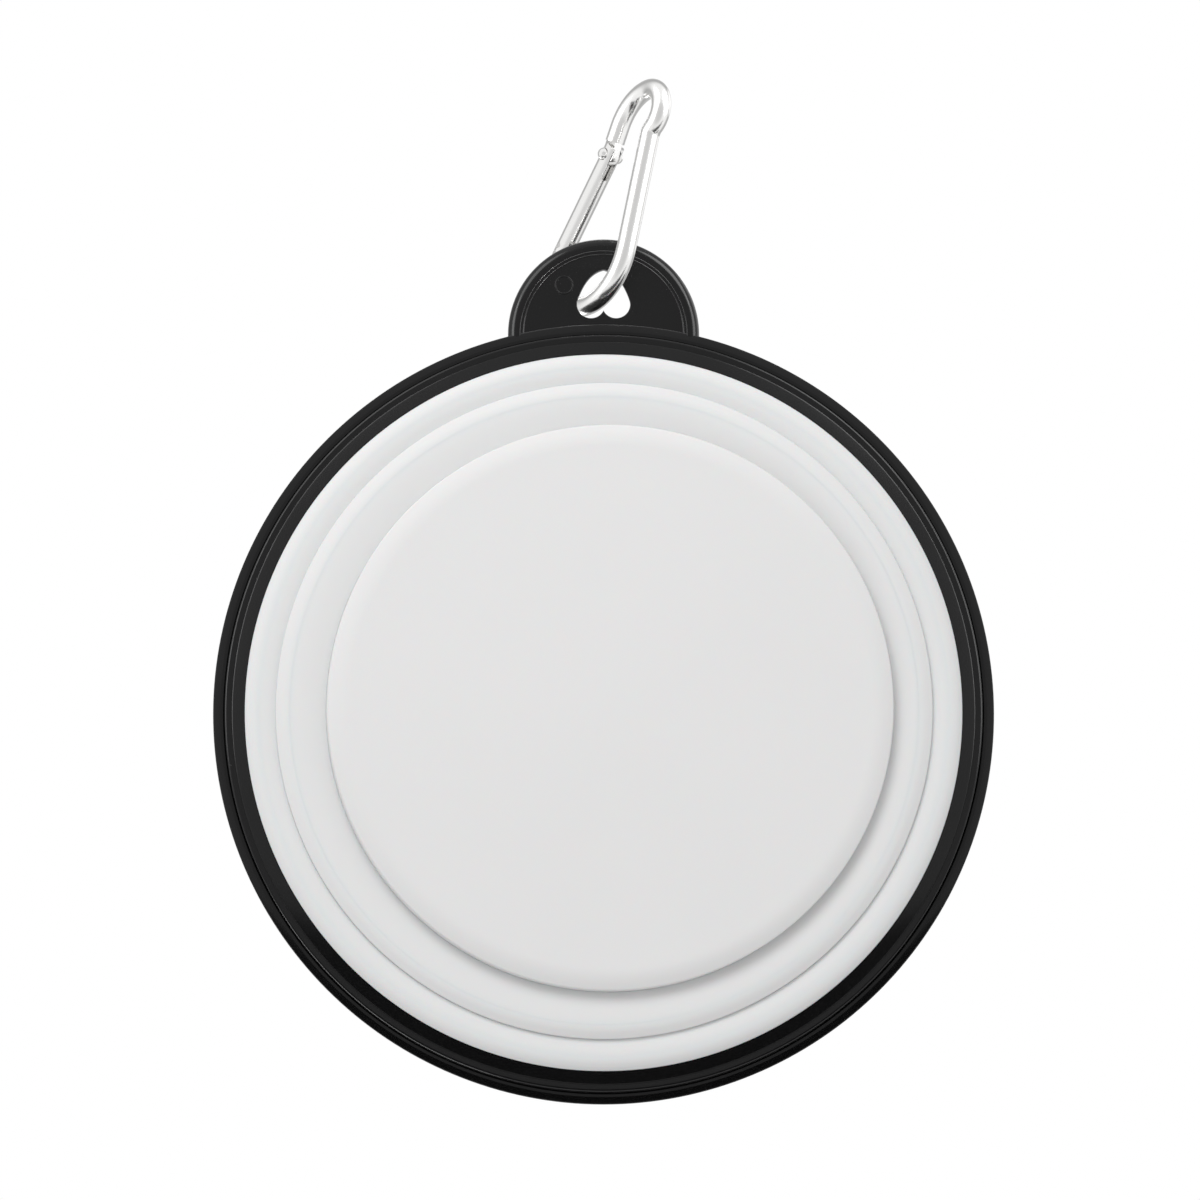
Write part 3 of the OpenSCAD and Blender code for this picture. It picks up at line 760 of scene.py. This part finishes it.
def join_meshes(name, meshes, finish):
    work = bmesh.new()
    for mesh in meshes:
        work.from_mesh(mesh)
        bpy.data.meshes.remove(mesh)
    made = bpy.data.meshes.new(name)
    work.to_mesh(made)
    work.free()
    made.materials.append(finish)
    return made


def loft(name, sections, ring=False):
    rows, columns = len(sections), len(sections[0])
    faces = []
    for i in range(rows if ring else rows - 1):
        n = (i + 1) % rows
        for k in range(columns):
            m = (k + 1) % columns
            faces.append((i * columns + k, i * columns + m, n * columns + m, n * columns + k))
    if not ring:
        faces += [tuple(range(columns)), tuple(range((rows - 1) * columns, rows * columns))]
    mesh = bpy.data.meshes.new(name)
    mesh.from_pydata([p for section in sections for p in section], [], faces)
    return mesh


def plate_mesh(name, loops, z_low, z_high, softened):
    curve = bpy.data.curves.new(name, "CURVE")
    curve.dimensions, curve.fill_mode = "2D", "BOTH"
    curve.extrude = (z_high - z_low) / 2 - softened
    curve.bevel_depth, curve.bevel_resolution, curve.offset = softened, 2, -softened
    for loop in loops:
        spline = curve.splines.new("POLY")
        spline.points.add(len(loop) - 1)
        spline.use_cyclic_u = True
        for target, (x, y) in zip(spline.points, loop):
            target.co = (x, y, 0, 1)
    holder = link_object(name, curve)
    graph = bpy.context.evaluated_depsgraph_get()
    mesh = bpy.data.meshes.new_from_object(holder.evaluated_get(graph))
    bpy.data.objects.remove(holder)
    mesh.transform(Matrix.Translation((0, 0, (z_low + z_high) / 2)))
    work = bmesh.new()
    work.from_mesh(mesh)
    bmesh.ops.remove_doubles(work, verts=work.verts, dist=same_spot)
    bmesh.ops.recalc_face_normals(work, faces=work.faces)
    work.to_mesh(mesh)
    work.free()
    return mesh


# %% Tab plate with its heart
tab_r, tab_y, tab_top, tab_low = 16 * MM, 63.5 * MM, 11.6 * MM, 9.6 * MM
border_w, border_low, plate_soft = 2.8 * MM, 8.8 * MM, 0.15 * MM
skirt_mid, border_mid = rim_r - skirt_w / 2, tab_r - border_w / 2
lobe_r, lobe_x, lobe_y, heart_tip = 2.35 * MM, 2.1 * MM, 68.5 * MM, 74.3 * MM
lobe_start, lobe_end = math.pi + math.acos(lobe_x / lobe_r), math.radians(375)
bulge_side, bulge_tip = 0.325, 0.885
tab_steps, lobe_steps, side_steps, base_points = 64, 32, 20, 40

turns = np.radians(np.linspace(0, 180, tab_steps + 1))
plate_edge = [(border_mid * math.cos(t), tab_y + border_mid * math.sin(t)) for t in turns]
base_turn = math.asin(border_mid / skirt_mid)
base_turns = np.linspace(-base_turn, base_turn, base_points)
base_edge = [(skirt_mid * math.sin(t), skirt_mid * math.cos(t)) for t in base_turns]

lobe_turns = np.linspace(lobe_start, lobe_end, lobe_steps + 1)
heart_half = [(lobe_x + lobe_r * math.cos(t), lobe_y + lobe_r * math.sin(t)) for t in lobe_turns]
side_start, tip = Vector(heart_half[-1]), Vector((0, heart_tip))
heart_w, heart_l = 2 * (lobe_x + lobe_r), heart_tip - lobe_y
side_pull = Vector((heart_w * bulge_side, lobe_y + heart_l * bulge_tip))
for t in np.linspace(0, 1, side_steps + 1)[1:]:
    heart_half.append(tuple(side_start * (1 - t) ** 2 + side_pull * 2 * t * (1 - t) + tip * t * t))
heart = heart_half + [(-x, y) for x, y in reversed(heart_half[1:-1])]
tab_plate = plate_mesh("tab_plate", [plate_edge + base_edge, heart], tab_low, tab_top, plate_soft)
print("Heart points:", len(heart))

# %% Mould pin's mark
mark_r, mark_line, mark_place = 1.45 * MM, 0.14 * MM, Vector((6.6, 71.7, 9.65)) * MM
mark_steps = 64
line_section = arc((0, 0), mark_line, 0, 360)[:-1]


def mark_section(t):
    out = Vector((math.cos(t), math.sin(t), 0))
    return [mark_place + out * (mark_r + u) + Vector((0, 0, v)) for u, v in line_section]


mark_turns = np.linspace(0, math.tau, mark_steps + 1)[:-1]
mould_mark = loft("mould_mark", [mark_section(t) for t in mark_turns], ring=True)
print("Mark width in mm:", round(2 * mark_r / MM, 2))

# %% Border, and the whole tab
border_soft, inner_soft, slope_w, slope_h = 0.7 * MM, 0.18 * MM, 1.5 * MM, 2 * MM
ledge_wide, ledge_deep, leg_points = 0.7 * MM, 0.42 * MM, 4
leg_y = math.sqrt(skirt_mid**2 - tab_r**2)
bar_half, bar_mid, side_half = (tab_top - border_low) / 2, (tab_top + border_low) / 2, border_w / 2
floor_v = tab_low - bar_mid
ledge_in, ledge_out, ledge_v = inner_soft - side_half, ledge_wide - side_half, floor_v - ledge_deep
section = (
    arc((side_half - border_soft, bar_half - border_soft), border_soft, 0, 90, steps=8)
    + [(-side_half, bar_half)]
    + arc((-side_half, floor_v - inner_soft), inner_soft, 90, 0, steps=6)
    + arc((ledge_in + inner_soft, ledge_v + inner_soft), inner_soft, 180, 270, steps=6)
    + [(ledge_out, ledge_v)]
    + arc((ledge_out + inner_soft, inner_soft - bar_half), inner_soft, 180, 270, steps=6)
    + arc((side_half - slope_w, slope_h - bar_half), slope_w, -90, 0, high=slope_h)
)
legs = np.linspace(leg_y, tab_y, leg_points)[:-1]
stations = [((border_mid, y), (1, 0)) for y in legs]
stations += [(place, (math.cos(t), math.sin(t))) for place, t in zip(plate_edge, turns)]
stations += [((-border_mid, y), (-1, 0)) for y in legs[::-1]]
tab_border = loft(
    "tab_border",
    [[(x + nx * u, y + ny * u, bar_mid + v) for u, v in section] for (x, y), (nx, ny) in stations],
)
tab = finished_object("rim_tab", join_meshes("rim_tab", [tab_plate, tab_border, mould_mark], plastic))

# %% [markdown]
# ## The clip's rod
# The clip is one bent rod: a leg above the hinge, a small loop, a waist, a straight spine, and a
# large loop that comes round to the gate. A list of straights and bends gives its line, as a
# wire bender would set it: a radius in millimetres and an angle, or no radius and a length. The
# last bend, at the nose, ends where the rod points at the hinge, because the gate lies on that
# line. All of it is in one plane, which the clip's own axes turn into place in the frame.

# %% The clip's own axes and line
joints = {j["name"]: j for j in frame["joints"]}
hinge = Vector(joints["gate_open"]["pos_m"])
clip_turn, clip_tilt, clip_roll = (math.radians(a) for a in (18.7, -7, 125))
tilted = Matrix.Rotation(clip_turn, 4, "Z") @ Matrix.Rotation(clip_tilt, 4, "X")
clip_place = Matrix.Translation(hinge) @ tilted @ Matrix.Rotation(clip_roll, 4, "Y")

shoulder, leg_heading, nose_bend_r = 2.4, math.radians(90), 5.28
leg, loop_side, loop_end = (0, 2.8), (8.2, 64), (4, 147)
waist, spine, bow = (2.3, -43.5), (0, 19.2), (10.2, 140)
bends = [leg, loop_side, loop_end, waist, spine, bow]


def rod_line(table, step_deg=3.0, step_mm=0.8):
    x, y, heading = 0.0, shoulder, leg_heading
    line = [(x, y)]
    for radius, amount in table:
        if radius == 0:
            steps = max(1, round(amount / step_mm))
            for _ in range(steps):
                x += amount / steps * math.cos(heading)
                y += amount / steps * math.sin(heading)
                line.append((x, y))
            continue
        swing = math.copysign(radius, amount)
        steps = max(2, round(abs(amount) / step_deg))
        centre_x, centre_y = x + swing * math.sin(heading), y - swing * math.cos(heading)
        for k in range(1, steps + 1):
            now = heading - math.radians(amount) * k / steps
            line.append((centre_x - swing * math.sin(now), centre_y + swing * math.cos(now)))
        heading -= math.radians(amount)
        x, y = line[-1]
    return line


def nose_bend(table):
    x, y = rod_line(table)[-1]
    heading = leg_heading - math.radians(sum(amount for radius, amount in table if radius))
    middle_x, middle_y = x + nose_bend_r * math.sin(heading), y - nose_bend_r * math.cos(heading)
    touch = math.asin(nose_bend_r / math.hypot(middle_x, middle_y))
    gate_heading = math.atan2(middle_y, middle_x) + math.pi - touch
    return nose_bend_r, math.degrees(heading - gate_heading) % 360


flat_line = rod_line(bends + [nose_bend(bends)])
clip_line = [clip_place @ Vector((x * MM, y * MM, 0)) for x, y in flat_line]
nose_x, nose_y = flat_line[-1]
gate_l = math.hypot(nose_x, nose_y)
print("Gate length in mm:", round(gate_l, 3), "line points:", len(clip_line))

# %% [markdown]
# A second Geometry Nodes tree carries a round section along a line. The rod and the spring's
# wire both use it, with their own radius and number of sides.

# %% Sweep tree
sweep_tree, source, result = new_geometry_tree(
    "sweep_wire", [("Line", GEOMETRY), ("Radius", FLOAT), ("Sides", INT), ("Material", MATERIAL)]
)
curve_line = add_node(sweep_tree, "GeometryNodeMeshToCurve")
link(sweep_tree, source.outputs["Line"], curve_line.inputs["Mesh"])
ring = add_node(sweep_tree, "GeometryNodeCurvePrimitiveCircle")
link(sweep_tree, source.outputs["Radius"], ring.inputs["Radius"])
link(sweep_tree, source.outputs["Sides"], ring.inputs["Resolution"])
swept = add_node(sweep_tree, "GeometryNodeCurveToMesh")
swept.inputs["Fill Caps"].default_value = True
link(sweep_tree, curve_line.outputs[0], swept.inputs["Curve"])
link(sweep_tree, ring.outputs["Curve"], swept.inputs["Profile Curve"])
end_tree(sweep_tree, swept.outputs[0], source, result)
print("Sweep tree nodes:", len(sweep_tree.nodes))


def sweep(name, line, radius, sides, finish):
    return run_tree(name, line, sweep_tree, {"Radius": radius, "Sides": sides, "Material": finish})


# %% [markdown]
# The rod ends in two flat tongues: one lies in the gate's fork, where the rivet goes through it,
# and one at the nose has a notch that the gate's pin drops into. Both are flat outlines in the
# clip's plane, given the tongue's thickness.

# %% Outlines of the two tongues
tongue_t, tongue_r, tongue_flat, neck = 1.3 * MM, 1.75 * MM, 1.45 * MM, 1.35 * MM
tongue_in = 1.2
tongue_top = (shoulder + tongue_in) * MM
gate_way = Vector((nose_x, nose_y)).normalized()
round_end = arc((0, 0), tongue_r, 180, 360, steps=24)
round_end = [(x, y) for x, y in round_end if Vector((x, y)).dot(gate_way) < tongue_flat]
hinge_outline = round_end + [(neck, tongue_top), (-tongue_r, tongue_top)]

gate_gap, pin_back, nose_out, nose_in = 0.25, 1.2, 2.6, 0.8
pin_y, notch_r, nose_half = (gate_l - gate_gap - pin_back) * MM, 0.65 * MM, 1.35 * MM
nose_low, nose_high = (gate_l - nose_out) * MM, (gate_l + nose_in) * MM
nose_outline = (
    [(-nose_half, nose_low), (nose_half, nose_low), (nose_half, nose_high), (-nose_half, nose_high)]
    + [(-nose_half, pin_y + notch_r)]
    + arc((0, pin_y), notch_r, 90, -90)
    + [(-nose_half, pin_y - notch_r)]
)
print("Notch from hinge in mm:", round(pin_y / MM, 2))

# %% The whole clip
rod_r, rod_sides, tongue_soft = 1.65 * MM, 40, 0.08 * MM
gate_lean = math.atan2(nose_x, -nose_y)
gate_axes = clip_place @ Matrix.Rotation(math.pi + gate_lean, 4, "Z")


def tongue_mesh(name, outline, place):
    mesh = plate_mesh(name, [outline], -tongue_t / 2, tongue_t / 2, tongue_soft)
    mesh.transform(place)
    return mesh


clip_meshes = [
    sweep("clip_wire", clip_line, rod_r, rod_sides, nickel),
    tongue_mesh("hinge_tongue", hinge_outline, clip_place),
    tongue_mesh("nose_tongue", nose_outline, gate_axes),
]
clip = finished_object("clip_rod", join_meshes("clip_rod", clip_meshes, nickel))

# %% [markdown]
# ## The gate's spring
# A tiny coil, hidden in the gate's bore, pushes the plunger against the hinge tongue. It is a
# round wire too, so the same sweep tree carries a thin section along a helix.

# %% Coil
spring_low, spring_high, coil_r, wire_r = 6.375 * MM, 11.775 * MM, 0.5 * MM, 0.125 * MM
coils, turn_points, wire_sides = 8, 24, 10
spring_l = spring_high - spring_low


def coil_point(share):
    t = share * coils * math.tau
    return gate_axes @ Vector((coil_r * math.cos(t), spring_low + spring_l * share, -coil_r * math.sin(t)))


coil_line = [coil_point(share) for share in np.linspace(0, 1, coils * turn_points + 1)]
coil = finished_object("gate_coil", sweep("gate_coil", coil_line, wire_r, wire_sides, wire_steel))

# %% [markdown]
# ## Putting the pieces on their bodies
# The rings, the rim, the clip's rod and the coil ride on the bodies of the CAD pieces that they stand for.
# The thin folds ride on no body: they stay fixed in their folded shape. The gate, its rivet, its pin and the
# plunger keep their CAD shapes and get the plated finish.

# %% Ride, fix and replace
riders = (
    (cup, "base", "bowl_base", "silicone"),
    (step_ring, "step", "step_ring", "silicone"),
    (collar, "rim", "bowl_collar", "silicone"),
    (hoop, "rim", "rim_frame", "rim_plastic"),
    (tab, "rim", "rim_frame", "rim_plastic"),
    (clamp_hoop, "rim", "clamp_ring", "rim_plastic"),
    (clamp_wall, "rim", "clamp_ring", "rim_plastic"),
    (clip, "clip", "clip_body", "clip_metal"),
    (coil, "gate", "gate_spring", "spring_steel"),
)
for piece, body, node, slot in riders:
    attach(piece, body)
    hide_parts(node)

for piece, outer, inner, node, bottom, upper in (
    (lower_fold, "step", "base", "lower_fold", step_low, cup_top),
    (upper_fold, "rim", "step", "upper_fold", collar_low, step_top),
):
    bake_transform(piece)
    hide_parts(node)

for name in ("clip_gate", "hinge_rivet", "latch_pin", "plunger"):
    for holder in frame["nodes"][name].material_slots:
        holder.material = nickel
print("Pieces that ride:", len(riders))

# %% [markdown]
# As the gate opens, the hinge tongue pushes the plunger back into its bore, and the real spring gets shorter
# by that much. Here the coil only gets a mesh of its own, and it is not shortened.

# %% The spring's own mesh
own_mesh(coil)

# %% [markdown]
# ## Bright lines
# Two pairs of lamps are there only to be mirrored, as thin lines on the moulded edges that face
# the photograph's camera. Light linking gives them to those pieces alone, so that the outside of
# the rim and the silicone look plain from other sides. The clip hangs so close to the black tab
# that it would mirror it in black patches, which the photograph doesn't show, so mirrored rays
# pass the tab by.

# %% Lamps for the mirrored lines
shine_set = bpy.data.collections.new("mirrored_edges")
for piece in (clamp_hoop, tab, clip):
    shine_set.objects.link(piece)
for lamp in lamps:
    if not lamp.visible_diffuse:
        lamp.light_linking.receiver_collection = shine_set
tab.visible_glossy = False
